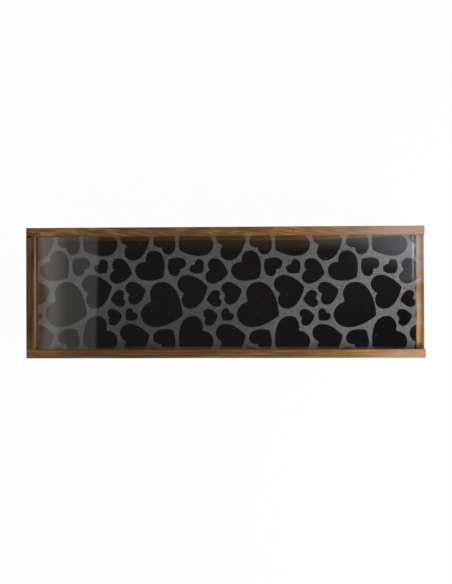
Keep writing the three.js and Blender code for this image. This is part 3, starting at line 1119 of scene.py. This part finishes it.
# %% Lay the hearts out
REPEAT = 85.15 * MM
PATTERN_TURN = math.radians(-0.21)
MARGIN = 1 * MM
SIDE_RUN = 0.5 * MM
ENGRAVING = 0.3 * MM
OVERRUN = 2 * MM
PATTERN_SHIFT_SHARES = (0.263, 0.032)
# Notch along the box and across it, and length, in shares of the repeat, then the heading
HEART_SHARES = [
    (0.46, 0.525, 0.355, -24),
    (0.795, 0.61, 0.26, 15),
    (0.395, 0.937, 0.25, -42),
    (0.065, 0.85, 0.195, -11),
    (0.755, 0.86, 0.155, 140),
    (0.91, 0.911, 0.12, -47),
    (0.23, 0.6, 0.175, 15),
    (0.16, 0.56, 0.13, -171),
    (0.025, 0.355, 0.13, 11),
    (0.27, 0.41, 0.105, -132),
    (0.99, 0.225, 0.295, -145),
    (0.195, 0.105, 0.255, 16),
    (0.565, 0.085, 0.185, 52),
]
field_low = Vector((end_high.x + MARGIN, end_low.y - SIDE_RUN, lid_low.z - OVERRUN))
field_high = Vector((lid_high.x - MARGIN, end_high.y + SIDE_RUN, lid_low.z + ENGRAVING))


def heart_places():
    """Place, length and heading of each heart that the engraved field shows some of."""
    start_x = field_high.x - PATTERN_SHIFT_SHARES[0] * REPEAT
    start_y = field_low.y - PATTERN_SHIFT_SHARES[1] * REPEAT
    corner = Vector((field_high.x, field_low.y))
    turned = Matrix.Rotation(PATTERN_TURN, 2)
    columns = math.ceil((field_high.x - field_low.x) / REPEAT)
    rows = math.ceil((field_high.y - field_low.y) / REPEAT)
    found = []
    for column in range(-columns - 1, 2):
        for row in range(-1, rows + 1):
            for along, across, length, heading in HEART_SHARES:
                notch = Vector((start_x + (column + along) * REPEAT, start_y + (row + across) * REPEAT))
                x, y = turned @ (notch - corner) + corner
                reach = length * REPEAT
                shows_x = field_low.x - reach < x < field_high.x + reach
                shows_y = field_low.y - reach < y < field_high.y + reach
                if shows_x and shows_y:
                    found.append((x, y, reach, math.radians(heading) + PATTERN_TURN))
    return found


heart = heart_prism(1)
hearts = []
for x, y, length, heading in heart_places():
    land = copy_of(heart, "heart_land")
    land.location = (x, y, lid_low.z)
    land.rotation_euler = (0, 0, heading)
    land.scale = (length, length, 2 * OVERRUN)
    settle(land)
    hearts.append(land)
remove(heart)
lands = joined(hearts)
print(len(hearts), "hearts stand in the engraving")

# %% Cut the pocket into the sheet, and give each face its finish
LID_ROUNDING = 0.2 * MM

pocket = block("pocket", field_low, field_high)
cut(pocket, lands)
remove(lands)
lid = block("sliding_lid_engraved", lid_low, lid_high, LID_ROUNDING)
cut(lid, pocket)
remove(pocket)
for material in lid_materials:
    lid.data.materials.append(material)


def engraved(at, normal):
    """Whether a face lies in the pocket."""
    in_pocket = lid_low.z + NEAR < at.z < lid_low.z + ENGRAVING + NEAR
    inside_x = field_low.x - NEAR < at.x < field_high.x + NEAR
    inside_y = field_low.y - NEAR < at.y < field_high.y + NEAR
    return in_pocket and inside_x and inside_y


def outer_edge(at, normal):
    """Whether a face lies on the sheet's outer edge."""
    return abs(normal.z) < SQUARE_ON and not engraved(at, normal)


edit(lid)
for index, test in [(1, engraved), (2, outer_edge)]:
    count = pick_faces(lid, test)
    lid.active_material_index = index
    bpy.ops.object.material_slot_assign()
    print(lid_materials[index].name, "covers", count, "faces")
done()
finish_piece(lid, "lid", "acrylic", "sliding_lid")

# %% [markdown]
# ## The floor and the light
# The photograph's background is pure white, and its light comes in low from the right, so the
# wood grows lighter that way and the inside stays dark. A white floor that shows white to the
# camera keeps the picture's background, while a small share of it still takes light and shadow.

# %% Lay the floor
FLOOR_REACH = 6.0
FLOOR_WHITE_SHARE = 0.975
FLOOR_GAP = 0.2 * MM
UNDERSIDE_RAY = 1.5 * MM
PAPER = (0.8, 0.8, 0.8, 1)


def seen_directly(tree):
    """One for rays from the camera, and for those that a mirror or glass sends on."""
    path = add(tree, "LightPath")
    direct = maths(tree, "MAXIMUM", path.outputs["Is Camera Ray"], path.outputs["Is Glossy Ray"])
    return maths(tree, "MAXIMUM", direct, path.outputs["Is Transmission Ray"])


def white_floor():
    """A pale floor that shows nearly white. From below it isn't there, and light passes it where
    the box's underside is close above, so that the underside can be looked at."""
    material, tree, surface = new_material("white_floor")
    paper = add(tree, "BsdfDiffuse", {"Color": PAPER})
    white = add(tree, "Emission", {"Color": PLAIN, "Strength": 1.0})
    laid = mixed(tree, product(tree, seen_directly(tree), FLOOR_WHITE_SHARE), paper, white)
    away = add(tree, "LightPath").outputs["Ray Length"]
    close = maths(tree, "LESS_THAN", away, UNDERSIDE_RAY)
    backfacing = add(tree, "NewGeometry").outputs["Backfacing"]
    gone = add(tree, "BsdfTransparent", {"Color": PLAIN})
    unseen = maths(tree, "MAXIMUM", close, backfacing)
    finish_material(tree, mixed(tree, unseen, laid, gone), surface)
    return material


bpy.ops.mesh.primitive_plane_add(size=FLOOR_REACH, location=(0, 0, -FLOOR_GAP))
floor = bpy.context.object
floor.name = "floor"
floor.data.materials.append(white_floor())
floor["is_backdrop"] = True
print("The floor reaches", FLOOR_REACH / 2, "m each way")

# %% [markdown]
# ## The lamp
# One soft lamp stands low on the right, close enough that its light falls off along the box. A
# far lamp would light both ends alike. Mirrors don't see it, because from some sides the lid would
# show it as a white patch.

# %% Set the lamp
LAMP_PLACE = Vector((0.43, -0.17, 0.34))
LAMP_AIM = Vector((0.05, 0, 0.1))
LAMP_COLOUR = (1.0, 0.99, 0.985)
LAMP_WIDTH = 0.30
LAMP_HEIGHT = 0.14
LAMP_WATTS = 3.56

bpy.ops.object.light_add(type="AREA", location=LAMP_PLACE)
lamp = bpy.context.object
lamp.name = "window_light"
lamp.data.shape = "RECTANGLE"
lamp.data.size = LAMP_WIDTH
lamp.data.size_y = LAMP_HEIGHT
lamp.data.energy = LAMP_WATTS
lamp.data.color = LAMP_COLOUR
lamp.visible_glossy = False
lamp.rotation_euler = (LAMP_AIM - LAMP_PLACE).to_track_quat("-Z", "Y").to_euler()
print("The lamp stands", round(LAMP_PLACE.length, 2), "m from the box")

# %% [markdown]
# ## The room
# The glossy lid mirrors the ceiling above it. In the photograph a pale area with a straight edge
# lies over its left end, and a faint bluish one over its far right corner, while the rest mirrors
# something dark. The room round the object is painted by direction: pale walls near the horizon,
# a dark ceiling, and these two pale areas in it.

# %% Paint the room
WALL_GLOW = 0.75
CEILING_GLOW = 0.07
WARM_GLOW = (1.01, 0.99, 0.92, 1)
BLUISH_GLOW = (1.18, 1.2, 1.34, 1)
CEILING_TO_WALL = (0.55, 0.1)
# Places on the ceiling are slopes: how far a ray goes east or north while it rises by one. Each
# pair says where an edge begins and ends, and a second pair how bright it is there
LEAST_RISE = 0.02
LEFT_SLANT = -0.0208
LEFT_EDGE = (-0.149, -0.1525)
LEFT_RISE = (-0.172, -0.188, 0.42, 1.1)
LEFT_BEND = 0.14
LEFT_FALL = (-0.1945, -0.186, 0.15, 1.0)
LEFT_DIMMER = (-0.035, 0.0, 0.86, 1.0)
BLUISH_INWARD = (0.045, 0.1)
BLUISH_OUTWARD = (0.25, 0.1, 0.3, 1.0)
BLUISH_UPPER = (0.024, 0.048)
CORNER_EAST = (0.086, 0.094)
CORNER_NORTH = (0.012, 0.02, 0.0, 0.5)
FAINT_EAST = (0.0, 0.05)
FAINT_NORTH = (-0.02, 0.02)
FAINT_GLOW = 0.04
STRIP_END = (0.08, 0.06)
STRIP_NORTH = (0.043, 0.052, 0.0, 0.5)
LINE_EAST = 0.1016
LINE_EDGE = (0.0010, 0.0002)
LINE_NORTH = (0.014, 0.024)
LINE_GLOW = 2.0


def room():
    """The room's brightness by direction. The camera itself sees white."""
    world = bpy.data.worlds.new("room")
    bpy.context.scene.world = world
    world.use_nodes = True
    tree = world.node_tree
    tree.nodes.clear()
    way = parts(tree, add(tree, "TexCoord").outputs["Generated"])
    up = maths(tree, "MAXIMUM", way[2], LEAST_RISE)
    east = maths(tree, "DIVIDE", way[0], up)
    north = maths(tree, "DIVIDE", way[1], up)

    # The pale area on the left, brightest some way in from its edge
    slanted = maths(tree, "MULTIPLY_ADD", north, LEFT_SLANT, east)
    edge = between(tree, slanted, *LEFT_EDGE)
    rise = between(tree, slanted, *LEFT_RISE)
    bent = maths(tree, "MULTIPLY_ADD", maths(tree, "ABSOLUTE", north), LEFT_BEND, east)
    fall = between(tree, bent, *LEFT_FALL)
    left = product(tree, edge, rise, fall, between(tree, north, *LEFT_DIMMER))

    # The bluish area towards the rear right, with a bright line in it
    outward = between(tree, east, *BLUISH_OUTWARD)
    bluish = product(
        tree, between(tree, east, *BLUISH_INWARD), outward, between(tree, north, *BLUISH_UPPER))
    corner = product(
        tree, between(tree, east, *CORNER_EAST), outward, between(tree, north, *CORNER_NORTH))
    bluish = maths(tree, "MAXIMUM", bluish, corner)
    begun = between(tree, east, *FAINT_EAST)
    faint = product(tree, begun, between(tree, north, *FAINT_NORTH))
    bluish = maths(tree, "MULTIPLY_ADD", faint, FAINT_GLOW, bluish)
    off_line = maths(tree, "ABSOLUTE", maths(tree, "SUBTRACT", east, LINE_EAST))
    line = product(tree, between(tree, off_line, *LINE_EDGE), between(tree, north, *LINE_NORTH))
    bluish = maths(tree, "MULTIPLY_ADD", line, LINE_GLOW, bluish)

    # A warm strip between the two, then the plain walls and ceiling under them all
    strip = product(
        tree, begun, between(tree, east, *STRIP_END), between(tree, north, *STRIP_NORTH))
    plain = between(tree, way[2], *CEILING_TO_WALL, CEILING_GLOW, WALL_GLOW)
    warm = blended(tree, 1.0, maths(tree, "ADD", left, strip), WARM_GLOW, "MULTIPLY")
    blue = blended(tree, 1.0, bluish, BLUISH_GLOW, "MULTIPLY")
    colour = blended(tree, 1.0, blended(tree, 1.0, warm, blue, "ADD"), plain, "ADD")
    light = add(tree, "Background", {"Color": colour, "Strength": 1.0})
    white = add(tree, "Background", {"Color": PLAIN, "Strength": 1.0})
    camera_ray = add(tree, "LightPath").outputs["Is Camera Ray"]
    both = mixed(tree, camera_ray, light, white)
    output = add(tree, "OutputWorld")
    tree.links.new(both.outputs[0], output.inputs["Surface"])


room()
bpy.context.scene.view_settings.view_transform = "Standard"
print("The ceiling glows at", CEILING_GLOW, "and the walls at", WALL_GLOW)

# %% [markdown]
# ## Both boxes are printed: the imported model's and the finished pieces'.
# The finished pieces must stay inside the imported model's box, so both boxes are written down.

# %% Write the sizes and finish
low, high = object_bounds()
print("The finished model measures", [round(x, 4) for x in high - low], "m")
